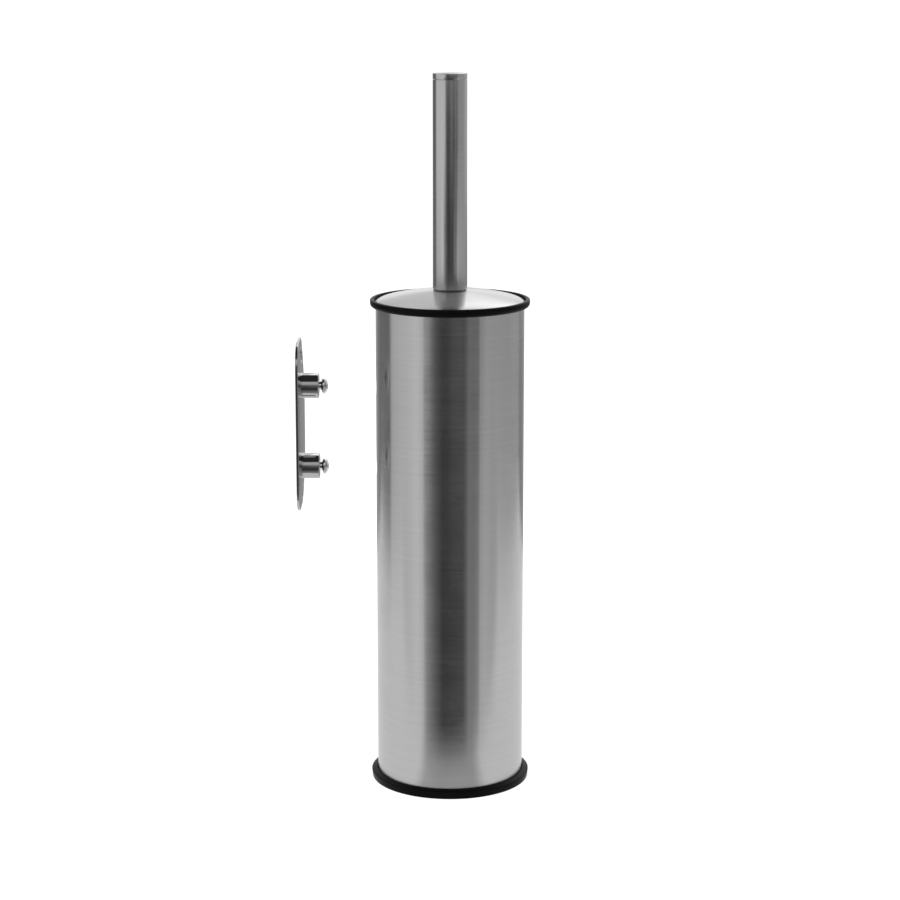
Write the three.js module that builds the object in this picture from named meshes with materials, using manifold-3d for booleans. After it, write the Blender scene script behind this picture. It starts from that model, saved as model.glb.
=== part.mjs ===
// Toilet brush holder: a slim steel tube with a plastic rim and base, a lid that carries the brush,
// and the wall bracket whose two screw heads hook into keyholes in the side of the tube.
//
// Millimetres. The origin is on the tube's axis at floor level, +Z is up, the wall bracket is at -X.

import * as THREE from "three";
import { mergeVertices } from "three/addons/utils/BufferGeometryUtils.js";
import Module from "manifold-3d";

const wasm = await Module();
wasm.setup();

// ---- driving dimensions ----

const GAP = 0.3; // air left between two pieces that touch
const LOOSE_FIT = 0.4; // air round a piece that is dropped into place
const SHEET = 0.8; // thickness of the steel sheet of tube and lid

const TUBE_RADIUS = 40;
const RIM_TOP = 267.5; // top of the holder without its lid
const LID_CROWN = 272.5; // top of the lid's dome, if it went on under the handle
const LID_SPHERE = 147; // radius of the dome
const HANDLE_FOOT = 273;
const OVERALL_HEIGHT = 387.3;

const HANDLE_RADIUS = 9.3;
const HANDLE_WALL = 1;
const END_CAP_HEIGHT = 3.2;
const STEM_RADIUS = 4;

const BRISTLE_RADIUS = 35;
const HUB_RADIUS = 10;
const BRISTLE_ROWS = 10;
const ROW_PITCH = 8;
const FIRST_ROW = 20; // height of the lowest row's middle
const TUFTS_IN_ROW = 11;

const BRACKET_BACK = -82.4; // the plate's wall side, at -X
const PLATE_MIDDLE = 199;
const HOOKS_MIDDLE = 197.9;
const HOOK_SPACING = 44.3;
const HOOK_END = -70.8; // face of the two bosses that meets the tube
const PLATE_WIDTH = 42;
const PLATE_LENGTH = 92;

const BIG_ROUND = 56; // sides of the tube, rings and lid
const MEDIUM_ROUND = 32; // sides of the handle
const SMALL_ROUND = 20; // sides of the stem, bosses and screws

// ---- sizes that follow ----

const TUBE_BORE = TUBE_RADIUS - SHEET;
const SKIRT_OUTSIDE = TUBE_BORE - GAP; // plastic wall that plugs into the tube, at rim and base
const SKIRT_WALL = 1.2;
const SKIRT_INSIDE = SKIRT_OUTSIDE - SKIRT_WALL;
const GROOVE_OUTSIDE = TUBE_RADIUS + GAP; // plastic wall round the outside of the tube

const RIM_RADIUS = TUBE_RADIUS + 3;
const RIM_LIP_INSIDE = TUBE_RADIUS + 0.8;
const RIM_LEDGE = RIM_TOP - 2.5; // ring that the lid lies on
const RIM_LEDGE_THICKNESS = 0.8;
const RIM_BOTTOM = RIM_TOP - 4.3;
const RIM_SKIRT_BOTTOM = RIM_TOP - 12.5;
const TUBE_TOP = RIM_LEDGE - RIM_LEDGE_THICKNESS - GAP;

const BASE_RADIUS = TUBE_RADIUS + 3.5;
const BASE_FOOT_RADIUS = TUBE_RADIUS + 3;
const BASE_FLOOR = 2.1; // thickness of the base under the drip cup
const BASE_GROOVE = 2.4;
const BASE_TOP = 4.9;
const TUBE_BOTTOM = BASE_GROOVE + GAP;

const LID_RADIUS = RIM_LIP_INSIDE - 0.5;
const LID_EDGE = RIM_LEDGE + GAP + SHEET; // upper side of the lid at its edge
const LID_TURN = LID_RADIUS - 6.3; // radius from which the lid's edge is turned down
const LID_HOLE = 6.5;

const HOOK_HEIGHTS = {
  lower: HOOKS_MIDDLE - HOOK_SPACING / 2,
  upper: HOOKS_MIDDLE + HOOK_SPACING / 2,
};

// ---- materials ----

const steel = () => new THREE.MeshStandardMaterial({ color: 0xa9abad, roughness: 0.34, metalness: 1 });
const chrome = () => new THREE.MeshStandardMaterial({ color: 0xd4d6d8, roughness: 0.08, metalness: 1 });
const blackPlastic = () => new THREE.MeshStandardMaterial({ color: 0x141414, roughness: 0.5, metalness: 0 });
const whitePlastic = () => new THREE.MeshStandardMaterial({ color: 0xe6e6e2, roughness: 0.45, metalness: 0 });

// ---- helpers ----

/** A named mesh of one sub-part. */
function piece(name, geometry, material) {
  const mesh = new THREE.Mesh(geometry, material);
  mesh.name = name;
  return mesh;
}

/** A group that holds the pieces of one rigid body. */
function bodyOf(...pieces) {
  const group = new THREE.Group();
  group.add(...pieces);
  return group;
}

/** A solid of revolution about +Z from [radius, height] points, listed up its outside and down its inside. */
function turned(profile, sides) {
  const points = profile.map(([radius, height]) => new THREE.Vector2(radius, height));
  return new THREE.LatheGeometry(points, sides).rotateX(Math.PI / 2);
}

/** The same, with its hole: the profile is closed on itself. */
function turnedRing(profile, sides) {
  return turned([...profile, profile[0]], sides);
}

/** Evenly spaced numbers from first to last. */
function steps(first, last, count) {
  return Array.from({ length: count + 1 }, (_, i) => first + ((last - first) * i) / count);
}

/** [radius, height] points along an arc of a profile, from one angle in degrees to another. */
function arc(centreRadius, centreHeight, size, from, to, count = 3) {
  return steps(from, to, count).map((degrees) => {
    const angle = THREE.MathUtils.degToRad(degrees);
    return [centreRadius + size * Math.cos(angle), centreHeight + size * Math.sin(angle)];
  });
}

/** A closed geometry as a manifold-3d solid. */
function toSolid(geometry) {
  const bare = geometry.clone();
  bare.deleteAttribute("normal");
  bare.deleteAttribute("uv");
  const merged = mergeVertices(bare, 1e-4);
  return new wasm.Manifold(
    new wasm.Mesh({
      numProp: 3,
      vertProperties: new Float32Array(merged.attributes.position.array),
      triVerts: new Uint32Array(merged.index.array),
    }),
  );
}

/** A manifold-3d solid as a geometry. */
function toGeometry(solid) {
  const mesh = solid.getMesh();
  const geometry = new THREE.BufferGeometry();
  geometry.setAttribute("position", new THREE.BufferAttribute(mesh.vertProperties, 3));
  geometry.setIndex(new THREE.BufferAttribute(mesh.triVerts, 1));
  geometry.computeVertexNormals();
  return geometry;
}

/** The geometry with every tool's shape taken out of it. */
function cut(geometry, tools) {
  return toGeometry(tools.reduce((solid, tool) => solid.subtract(toSolid(tool)), toSolid(geometry)));
}

/** Turns a solid that points up +Z to point along +X, at the given height. */
function alongX(geometry, height) {
  return geometry.rotateY(Math.PI / 2).translate(0, 0, height);
}

// ---- holder: tube, rim, base and drip cup ----

const KEYHOLE = { entryRadius: 5.3, slotHalfWidth: 2.9, slotRise: 8 };

/** Cutter for one keyhole: a round entry, and above it the narrow slot that the screw's neck drops into. */
function keyholeCutter(height) {
  const { entryRadius, slotHalfWidth, slotRise } = KEYHOLE;
  const neckAngle = Math.asin(slotHalfWidth / entryRadius);
  const outline = new THREE.Shape();
  outline.absarc(0, 0, entryRadius, Math.PI / 2 + neckAngle, Math.PI / 2 - neckAngle + 2 * Math.PI, false);
  outline.absarc(0, slotRise, slotHalfWidth, 0, Math.PI, false);
  const depth = 12; // half of it on either side of the wall
  const cutter = new THREE.ExtrudeGeometry(outline, { depth, curveSegments: 8, bevelEnabled: false });
  // the outline's own x and y become -Y and +Z, and the cutter reaches through the wall at -X
  return cutter
    .rotateX(Math.PI / 2)
    .rotateZ(-Math.PI / 2)
    .translate(-TUBE_RADIUS + depth / 2, 0, height);
}

function outerTube() {
  const wall = turnedRing(
    [
      [TUBE_BORE, TUBE_BOTTOM],
      [TUBE_RADIUS, TUBE_BOTTOM],
      [TUBE_RADIUS, TUBE_TOP],
      [TUBE_BORE, TUBE_TOP],
    ],
    BIG_ROUND,
  );
  return piece("outer_tube", cut(wall, Object.values(HOOK_HEIGHTS).map(keyholeCutter)), steel());
}

function rimRing() {
  const underRound = 2.3;
  const lipRound = 0.8;
  const profile = [
    [SKIRT_INSIDE, RIM_SKIRT_BOTTOM],
    [SKIRT_OUTSIDE, RIM_SKIRT_BOTTOM],
    [SKIRT_OUTSIDE, TUBE_TOP + GAP],
    [GROOVE_OUTSIDE, TUBE_TOP + GAP],
    [GROOVE_OUTSIDE, RIM_BOTTOM],
    ...arc(RIM_RADIUS - underRound, RIM_BOTTOM + underRound, underRound, -90, 0),
    ...arc(RIM_RADIUS - lipRound, RIM_TOP - lipRound, lipRound, 0, 90),
    [RIM_LIP_INSIDE, RIM_TOP],
    [RIM_LIP_INSIDE, RIM_LEDGE],
    [SKIRT_INSIDE, RIM_LEDGE],
  ];
  return piece("rim_ring", turnedRing(profile, BIG_ROUND), blackPlastic());
}

function baseCap() {
  const padRadius = 14;
  const footWidth = 6.5;
  const relief = 0.6; // the underside stands on its middle and its outer ring
  const flare = 3.5; // height over which the foot widens to the base's full radius
  const topRound = 0.5;
  const skirtTop = BASE_GROOVE + 9.6;
  const profile = [
    [0, 0],
    [padRadius, 0],
    [padRadius + relief, relief],
    [BASE_FOOT_RADIUS - footWidth - relief, relief],
    [BASE_FOOT_RADIUS - footWidth, 0],
    [BASE_FOOT_RADIUS, 0],
    ...arc(BASE_RADIUS - topRound, flare, topRound, 0, 75),
    [GROOVE_OUTSIDE, BASE_TOP],
    [GROOVE_OUTSIDE, BASE_GROOVE],
    [SKIRT_OUTSIDE, BASE_GROOVE],
    [SKIRT_OUTSIDE, skirtTop],
    [SKIRT_INSIDE, skirtTop],
    [SKIRT_INSIDE, BASE_FLOOR],
    [0, BASE_FLOOR],
  ];
  return piece("base_cap", turned(profile, BIG_ROUND), blackPlastic());
}

function dripCup() {
  const bottom = BASE_FLOOR + GAP;
  const top = 150; // stays under the lower keyhole
  const outside = SKIRT_INSIDE - LOOSE_FIT;
  const wall = 1.1;
  const floor = 1.8;
  const footRadius = outside - 0.3; // narrower than the mouth, so that the cup leaves its mould
  const outerRound = 2;
  const innerRound = 1.5;
  const profile = [
    [0, bottom],
    ...arc(footRadius - outerRound, bottom + outerRound, outerRound, -90, 0, 2),
    [outside, top],
    [outside - wall, top],
    ...arc(footRadius - wall - innerRound, bottom + floor + innerRound, innerRound, 0, -90, 2),
    [0, bottom + floor],
  ];
  return piece("drip_cup", turned(profile, BIG_ROUND), blackPlastic());
}

// ---- lid: dome, locating ring and bush ----

/** Height of the plain dome at a radius, or of a surface that lies some way below it. */
function sphereHeight(radius, below = 0) {
  return LID_CROWN - LID_SPHERE + Math.sqrt((LID_SPHERE - below) ** 2 - radius ** 2);
}

/** Height of the lid at a radius, with its edge turned down to the ledge. */
function domeHeight(radius, below = 0) {
  const turn = Math.max(0, (radius - LID_TURN) / (LID_RADIUS - LID_TURN)) ** 3;
  return sphereHeight(radius, below) - turn * (sphereHeight(LID_RADIUS) - LID_EDGE);
}

function lidCover() {
  const radii = [...steps(LID_RADIUS, LID_TURN, 4), ...steps(LID_TURN, LID_HOLE, 4).slice(1)];
  const upper = radii.map((radius) => [radius, domeHeight(radius)]);
  const lower = radii.reverse().map((radius) => [radius, domeHeight(radius, SHEET)]);
  return piece("lid_cover", turnedRing([...upper, ...lower], BIG_ROUND), steel());
}

function lidLocatingRing() {
  const outside = SKIRT_INSIDE - LOOSE_FIT;
  const wall = 2.4;
  const inside = outside - wall;
  const bottom = RIM_LEDGE - 4.3;
  const profile = [
    [inside, bottom],
    [outside, bottom],
    [outside, domeHeight(outside, SHEET + GAP)],
    [inside, domeHeight(inside, SHEET + GAP)],
  ];
  return piece("lid_locating_ring", turnedRing(profile, BIG_ROUND), blackPlastic());
}

const BUSH_BORE = STEM_RADIUS + GAP;
const BUSH_BOTTOM = RIM_LEDGE - 2;

function lidBush() {
  const flangeRadius = 11;
  const flangeTop = domeHeight(flangeRadius, SHEET + GAP);
  const flangeEdge = 1.6;
  const flangeRoot = 2;
  const bodyRadius = LID_HOLE - GAP;
  const bodyTop = domeHeight(LID_HOLE) - 0.1; // just under the lid's surface
  const profile = [
    [BUSH_BORE, BUSH_BOTTOM],
    [bodyRadius, BUSH_BOTTOM],
    [bodyRadius, flangeTop - flangeRoot],
    [flangeRadius, flangeTop - flangeEdge],
    [flangeRadius, flangeTop],
    [bodyRadius, flangeTop],
    [bodyRadius, bodyTop],
    [BUSH_BORE, bodyTop],
  ];
  return piece("lid_bush", turnedRing(profile, SMALL_ROUND), blackPlastic());
}

// ---- brush: handle, stem and head ----

const CAP_SEAM = OVERALL_HEIGHT - END_CAP_HEIGHT;
const SEAM = 0.2; // width of the seam between handle and end cap, and round the foot washer
const HANDLE_BORE = HANDLE_RADIUS - HANDLE_WALL;
const PLUG_RADIUS = HANDLE_BORE - GAP;
const STEM_TOP = HANDLE_FOOT + 18;
const STEM_CLEARANCE = STEM_RADIUS + GAP; // bore of the pieces that the stem goes through

function handleTube() {
  const chamfer = 0.2;
  const profile = [
    [HANDLE_BORE, HANDLE_FOOT],
    [HANDLE_RADIUS - chamfer, HANDLE_FOOT],
    [HANDLE_RADIUS, HANDLE_FOOT + chamfer],
    [HANDLE_RADIUS, CAP_SEAM - SEAM],
    [HANDLE_BORE, CAP_SEAM - SEAM],
  ];
  return piece("handle_tube", turnedRing(profile, MEDIUM_ROUND), steel());
}

function handleEndCap() {
  const spigotLength = 8;
  const chamfer = 0.4;
  const profile = [
    [0, CAP_SEAM - spigotLength],
    [PLUG_RADIUS, CAP_SEAM - spigotLength],
    [PLUG_RADIUS, CAP_SEAM],
    [HANDLE_RADIUS, CAP_SEAM],
    [HANDLE_RADIUS, OVERALL_HEIGHT - chamfer],
    [HANDLE_RADIUS - chamfer, OVERALL_HEIGHT],
    [0, OVERALL_HEIGHT],
  ];
  return piece("handle_end_cap", turned(profile, MEDIUM_ROUND), steel());
}

function handlePlug() {
  const bottom = HANDLE_FOOT + 1;
  const holeTop = STEM_TOP + 1;
  const top = holeTop + 2;
  const profile = [
    [STEM_CLEARANCE, bottom],
    [PLUG_RADIUS, bottom],
    [PLUG_RADIUS, top],
    [0, top],
    [0, holeTop],
    [STEM_CLEARANCE, holeTop],
  ];
  return piece("handle_plug", turnedRing(profile, SMALL_ROUND), blackPlastic());
}

/** The thin steel washer on which the handle turns on the lid. */
function footWasher() {
  const radius = HANDLE_RADIUS - 0.2;
  const bottom = domeHeight(LID_HOLE) + SEAM;
  const top = HANDLE_FOOT - SEAM;
  const profile = [
    [STEM_CLEARANCE, bottom],
    [radius, bottom],
    [radius, top],
    [STEM_CLEARANCE, top],
  ];
  return piece("foot_washer", turnedRing(profile, MEDIUM_ROUND), steel());
}

const HUB_BOTTOM = FIRST_ROW - ROW_PITCH / 2;
const HUB_TOP = HUB_BOTTOM + BRISTLE_ROWS * ROW_PITCH;
const HUB_NECK_TOP = HUB_TOP + 14;
const STEM_BOTTOM = HUB_NECK_TOP - 28; // floor of the hub's socket

function stem() {
  const chamfer = 0.5;
  const profile = [
    [0, STEM_BOTTOM],
    [STEM_RADIUS - chamfer, STEM_BOTTOM],
    [STEM_RADIUS, STEM_BOTTOM + chamfer],
    [STEM_RADIUS, STEM_TOP - chamfer],
    [STEM_RADIUS - chamfer, STEM_TOP],
    [0, STEM_TOP],
  ];
  return piece("stem", turned(profile, SMALL_ROUND), steel());
}

/** The ring on the stem that keeps the lid from sliding down it. */
function retainingRing() {
  const bore = STEM_RADIUS + 0.2;
  const radius = STEM_RADIUS + 3.5;
  const top = BUSH_BOTTOM - GAP;
  const bottom = top - 2;
  const profile = [
    [bore, bottom],
    [radius, bottom],
    [radius, top],
    [bore, top],
  ];
  return piece("stem_retaining_ring", turnedRing(profile, SMALL_ROUND), steel());
}

function brushHub() {
  const neckRadius = 6.4;
  const shoulder = 4; // height over which the hub narrows to its neck
  const chamfer = 2;
  const socketFloor = STEM_BOTTOM - GAP;
  const profile = [
    [0, HUB_BOTTOM],
    [HUB_RADIUS - chamfer, HUB_BOTTOM],
    [HUB_RADIUS, HUB_BOTTOM + chamfer],
    [HUB_RADIUS, HUB_TOP],
    [neckRadius, HUB_TOP + shoulder],
    [neckRadius, HUB_NECK_TOP],
    [STEM_CLEARANCE, HUB_NECK_TOP],
    [STEM_CLEARANCE, socketFloor],
    [0, socketFloor],
  ];
  return piece("brush_hub", turned(profile, SMALL_ROUND), whitePlastic());
}

/** How much shorter a row is than the longest, when the head narrows over its last rows. */
function roundOff(rowsFromEnd, rowsRounded, most) {
  return most * Math.max(0, 1 - rowsFromEnd / rowsRounded) ** 2;
}

/** How far the bristles of a row reach: the head is round at its lower end and a little at its upper end. */
function rowReach(row) {
  return BRISTLE_RADIUS - roundOff(row + 1, 4, 14) - roundOff(BRISTLE_ROWS - row, 3, 6);
}

/** One ring of tufts standing out from a thin band round the hub. */
function bristleRow(row) {
  const bandInside = HUB_RADIUS + GAP;
  const bandOutside = bandInside + 1.5;
  const reach = rowReach(row);
  const height = 5.6;
  const tuftAngle = (2 * Math.PI) / TUFTS_IN_ROW;
  const rootHalf = 0.4; // half of a tuft's width at its root, as a share of the tufts' spacing
  const tipHalf = 0.3;
  const points = [];
  for (let tuft = 0; tuft < TUFTS_IN_ROW; tuft += 1) {
    const middle = (tuft + (row % 2) / 2) * tuftAngle;
    const corners = [
      [bandOutside, -rootHalf],
      [reach, -tipHalf],
      [reach, tipHalf],
      [bandOutside, rootHalf],
    ];
    for (const [radius, turn] of corners) {
      const angle = middle + turn * tuftAngle;
      points.push(new THREE.Vector2(radius * Math.cos(angle), radius * Math.sin(angle)));
    }
  }
  const outline = new THREE.Shape(points);
  outline.holes.push(new THREE.Path().absarc(0, 0, bandInside, 0, 2 * Math.PI, true));
  const settings = { depth: height, curveSegments: 8, bevelEnabled: false };
  const geometry = new THREE.ExtrudeGeometry(outline, settings);
  geometry.translate(0, 0, FIRST_ROW + row * ROW_PITCH - height / 2);
  return piece(`bristle_row_${String(row + 1).padStart(2, "0")}`, geometry, whitePlastic());
}

/** The bristles on the lower end of the hub. */
function bristleTip() {
  const radius = 21;
  const depth = 8;
  const top = HUB_BOTTOM - GAP;
  const widest = top - 1.8;
  const curve = steps(-Math.PI / 2, 0, 4).map((angle) => [
    radius * Math.cos(angle),
    widest + (depth - (top - widest)) * Math.sin(angle),
  ]);
  const profile = [...curve, [HUB_RADIUS - 1, top], [0, top]];
  return piece("bristle_tip", turned(profile, SMALL_ROUND), whitePlastic());
}

// ---- wall bracket: plate, two bosses, two hook screws ----

const PLATE_EDGE = 1.5; // thickness at the plate's edge
const PLATE_CROWN = 2.1; // how much thicker the plate is in its middle
const PLATE_CORNER = 13;
const BOSS_RADIUS = 6.9;
const SPIGOT_RADIUS = 3.2;
const SCREW_RADIUS = 2.45;
const SCREW_HEAD_RADIUS = 4.7;
const SCREW_DEPTH = 7; // length of the shank inside its boss
const HOOK_NECK = 1.3; // bare shank between boss and head, where the tube's wall goes
const WALL_HOLE_RADIUS = 3;
const WALL_HOLE_SINK = 2; // depth of its countersink
const WALL_HOLE_OFFSET = 38; // from the plate's middle, up and down
const BOSS_SEAT = BRACKET_BACK + PLATE_EDGE;

/** Points round a rectangle with round corners, centred on the origin. */
function roundedRectangle(width, length, corner, segments) {
  const points = [];
  for (let quarter = 0; quarter < 4; quarter += 1) {
    const sideX = quarter === 0 || quarter === 3 ? 1 : -1;
    const sideY = quarter < 2 ? 1 : -1;
    for (const angle of steps((quarter * Math.PI) / 2, ((quarter + 1) * Math.PI) / 2, segments)) {
      points.push([
        sideX * (width / 2 - corner) + corner * Math.cos(angle),
        sideY * (length / 2 - corner) + corner * Math.sin(angle),
      ]);
    }
  }
  return points;
}

/** A plate with a flat back at z = 0, an upright edge and a crowned face. */
function crownedPlate() {
  const outline = roundedRectangle(PLATE_WIDTH, PLATE_LENGTH, PLATE_CORNER, 6);
  const layers = [{ scale: 1, height: 0 }];
  for (const scale of steps(1, 0, 6).slice(0, -1)) {
    layers.push({ scale, height: PLATE_EDGE + PLATE_CROWN * (1 - scale ** 2) });
  }
  const count = outline.length;
  const positions = layers.flatMap(({ scale, height }) =>
    outline.flatMap(([x, y]) => [x * scale, y * scale, height]),
  );
  const backMiddle = layers.length * count;
  const faceMiddle = backMiddle + 1;
  positions.push(0, 0, 0, 0, 0, PLATE_EDGE + PLATE_CROWN);
  const indices = [];
  for (let i = 0; i < count; i += 1) {
    const next = (i + 1) % count;
    for (let layer = 0; layer < layers.length - 1; layer += 1) {
      const low = layer * count;
      const high = low + count;
      indices.push(low + i, low + next, high + next, low + i, high + next, high + i);
    }
    const last = (layers.length - 1) * count;
    indices.push(last + i, last + next, faceMiddle, next, i, backMiddle);
  }
  const geometry = new THREE.BufferGeometry();
  geometry.setAttribute("position", new THREE.Float32BufferAttribute(positions, 3));
  geometry.setIndex(indices);
  return geometry;
}

/** A round cutter along X, wider towards +X when it has a countersink. */
function plateHole(radius, from, to, height, countersink = 0) {
  const profile = [
    [0, from],
    [radius, from],
    [radius, to - countersink],
    [radius + countersink, to],
    [0, to],
  ];
  return alongX(turned(profile, SMALL_ROUND), height);
}

function wallPlate() {
  const plate = crownedPlate()
    .rotateX(Math.PI / 2)
    .rotateZ(Math.PI / 2)
    .translate(BRACKET_BACK, 0, PLATE_MIDDLE);
  const behind = BRACKET_BACK - 1;
  const ahead = BRACKET_BACK + 5; // clear of the crown
  const sinkTop = BRACKET_BACK + PLATE_EDGE + 1;
  const cutters = [];
  for (const height of Object.values(HOOK_HEIGHTS)) {
    cutters.push(plateHole(BOSS_RADIUS + GAP, BOSS_SEAT - GAP, ahead, height));
    cutters.push(plateHole(SPIGOT_RADIUS + GAP, behind, ahead, height));
  }
  for (const height of [PLATE_MIDDLE - WALL_HOLE_OFFSET, PLATE_MIDDLE + WALL_HOLE_OFFSET]) {
    cutters.push(plateHole(WALL_HOLE_RADIUS, behind, sinkTop, height, WALL_HOLE_SINK));
  }
  return piece("wall_plate", cut(plate, cutters), chrome());
}

/** A boss that stands on the plate, riveted through it by its spigot, with a blind threaded hole. */
function boss(end) {
  const chamfer = 0.3;
  const bore = SCREW_RADIUS + GAP;
  const boreEnd = HOOK_END - SCREW_DEPTH - 1;
  const profile = [
    [0, BRACKET_BACK + GAP],
    [SPIGOT_RADIUS, BRACKET_BACK + GAP],
    [SPIGOT_RADIUS, BOSS_SEAT],
    [BOSS_RADIUS, BOSS_SEAT],
    [BOSS_RADIUS, HOOK_END - chamfer],
    [BOSS_RADIUS - chamfer, HOOK_END],
    [bore, HOOK_END],
    [bore, boreEnd],
    [0, boreEnd],
  ];
  return piece(`boss_${end}`, alongX(turned(profile, SMALL_ROUND), HOOK_HEIGHTS[end]), chrome());
}

/** The screw whose head hooks behind the tube's wall. */
function hookScrew(end) {
  const shankEnd = HOOK_END - SCREW_DEPTH;
  const headStart = HOOK_END + HOOK_NECK;
  const coneHeight = 0.7;
  const brim = 0.2;
  const domeStart = headStart + coneHeight + brim;
  const domeHigh = 2.7;
  const dome = steps(0, Math.PI / 2, 4).map((angle) => [
    SCREW_HEAD_RADIUS * Math.cos(angle),
    domeStart + domeHigh * Math.sin(angle),
  ]);
  const profile = [
    [0, shankEnd],
    [SCREW_RADIUS, shankEnd],
    [SCREW_RADIUS, headStart],
    [SCREW_HEAD_RADIUS - 0.5, headStart + coneHeight],
    ...dome,
  ];
  return piece(`hook_screw_${end}`, alongX(turned(profile, SMALL_ROUND), HOOK_HEIGHTS[end]), chrome());
}

// ---- assembly ----

const bristleRows = Array.from({ length: BRISTLE_ROWS }, (_, row) => bristleRow(row));

const group = new THREE.Group();
group.add(
  bodyOf(outerTube(), rimRing(), baseCap(), dripCup()),
  bodyOf(lidCover(), lidLocatingRing(), lidBush()),
  bodyOf(
    handleTube(),
    handleEndCap(),
    handlePlug(),
    footWasher(),
    stem(),
    retainingRing(),
    brushHub(),
    ...bristleRows,
    bristleTip(),
  ),
  bodyOf(wallPlate(), boss("upper"), boss("lower"), hookScrew("upper"), hookScrew("lower")),
);

export default group;
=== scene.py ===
"""Toilet brush holder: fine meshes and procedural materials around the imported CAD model.

Blender works in metres; the outlines below are in millimetres, because the pieces are small.
The tube stands on the origin with +Z up, the wall bracket is at -X and the viewer at -Y.
"""

import math
import random

import bmesh
import bpy
from mathutils import Matrix, Vector


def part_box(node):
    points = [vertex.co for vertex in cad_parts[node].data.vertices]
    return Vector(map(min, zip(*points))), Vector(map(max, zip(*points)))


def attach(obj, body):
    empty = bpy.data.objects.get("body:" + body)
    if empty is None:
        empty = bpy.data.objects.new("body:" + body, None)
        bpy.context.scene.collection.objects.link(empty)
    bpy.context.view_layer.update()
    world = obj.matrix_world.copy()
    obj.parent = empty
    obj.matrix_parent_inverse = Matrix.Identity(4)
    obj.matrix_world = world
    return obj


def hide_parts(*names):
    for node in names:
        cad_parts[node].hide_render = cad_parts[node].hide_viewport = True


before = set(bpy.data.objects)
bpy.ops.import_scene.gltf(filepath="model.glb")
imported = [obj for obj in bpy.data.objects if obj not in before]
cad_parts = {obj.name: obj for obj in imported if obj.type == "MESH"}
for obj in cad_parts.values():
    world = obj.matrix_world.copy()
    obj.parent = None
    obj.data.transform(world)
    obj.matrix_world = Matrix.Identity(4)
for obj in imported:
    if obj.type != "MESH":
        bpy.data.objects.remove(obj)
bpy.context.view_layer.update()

MM = 0.001

# ---- sizes that the boxes of the CAD nodes don't give, in millimetres ----

SHEET = 0.8  # steel sheet of tube and lid
RIM_HEIGHT = 4.3  # of the rim's black ring outside the tube
RIM_LIP = 2.2  # thickness of the lip round the lid
RIM_RECESS = 2.5  # depth of the ledge that the lid lies on
BASE_COLLAR = 4.9  # height of the base's top at the tube
BASE_SHOULDER = 3.9  # height at which the base is widest
BASE_GROOVE = 2.4  # height of the groove's floor, in which the tube stands
BASE_FLOOR = 2.1  # thickness of the base inside the tube
BASE_RELIEF = 0.6  # how far the middle of the base stands clear of the floor
FOOT_RING = 6.5  # width of the outer ring that the base stands on
CENTRE_FOOT = 14.0  # radius of the disc in its middle that it stands on too
LID_SPHERE = 147.0  # radius of the lid's dome
LID_TURN = 34.0  # radius from which the lid's edge is turned down
LID_RECESS = 1.4  # how far the lid's edge lies below the rim's top
LID_HOLE = 6.5
LID_RING_WALL = 2.4
SKIRT_WALL = 1.2  # plastic wall inside the tube, at rim and base
STEM_RADIUS = 4.0
BORE_GAP = 0.3  # clearance round stem, tube and shanks
HANDLE_WALL = 1.0

KEYHOLE_ENTRY = 5.3  # radius of the keyholes' round entries
SLOT_HALF_WIDTH = 2.9
SLOT_RISE = 8.0  # from the middle of the entry to the middle of the slot's round end

PLATE_EDGE = 1.5  # thickness of the bracket's plate at its edge
PLATE_CORNER = 13.0
WALL_HOLE = 3.0  # radius of the plate's wall holes
WALL_HOLE_OFFSET = 38.0  # from the plate's middle, up and down
BOSS_SPIGOT = 3.2  # radius of the boss's end that is riveted into the plate
SCREW_SHANK = 2.45
SOCKET_WIDTH = 3.0  # of the hexagon in the screws' heads, across its flats
SOCKET_DEPTH = 1.5
HEAD_DOME = 2.7  # height of the screws' domed heads above their brim
HEAD_CONE = 0.9  # height of the cone below it

BRISTLE_ROWS = 10
TUFTS_IN_ROW = 11
ROOT_FAN = 0.1  # radians that a tuft spreads to each side where it leaves the hub
TIP_FAN = 0.3  # and at its end
ROOT_RISE = 1.2  # how far a tuft spreads up and down where it leaves the hub
TIP_RISE = 3.6  # and at its end
HUB_BAND = 11.6  # radius of the hub's bands, in which the tufts stand
HUB_BAND_HEIGHT = 5.6
FILAMENT_RADIUS = 0.2
FILAMENTS_IN_TUFT = 34
FILAMENTS_IN_TIP = 260

ROUND = 192  # sides of tube, rings and lid
SLIM_ROUND = 96  # sides of handle, bosses and screws
ARC_STEPS = 4  # edges along each fillet


def span(node):
    """Outer radius, bottom and top of a CAD node that is turned about Z, in millimetres."""
    low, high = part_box(node)
    return high.y / MM, low.z / MM, high.z / MM


def span_along_x(node):
    """Radius, start and end along X, and height of a CAD node that is turned about X, in millimetres."""
    low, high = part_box(node)
    return high.y / MM, low.x / MM, high.x / MM, (low.z + high.z) / 2 / MM


def reach(node):
    """The largest distance from the tube's axis in a CAD node, in millimetres."""
    return max(math.hypot(v.co.x, v.co.y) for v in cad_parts[node].data.vertices) / MM


# ---- mesh helpers ----


def new_object(name, bm):
    """Ends a bmesh as a linked object whose faces point out."""
    bmesh.ops.recalc_face_normals(bm, faces=bm.faces)
    mesh = bpy.data.meshes.new(name)
    bm.to_mesh(mesh)
    bm.free()
    obj = bpy.data.objects.new(name, mesh)
    bpy.context.scene.collection.objects.link(obj)
    return obj


def in_metres(point):
    return [part * MM for part in point]


def around_z(radius, angle, height):
    """The point at a radius, an angle in radians and a height."""
    return radius * math.cos(angle), radius * math.sin(angle), height


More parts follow.
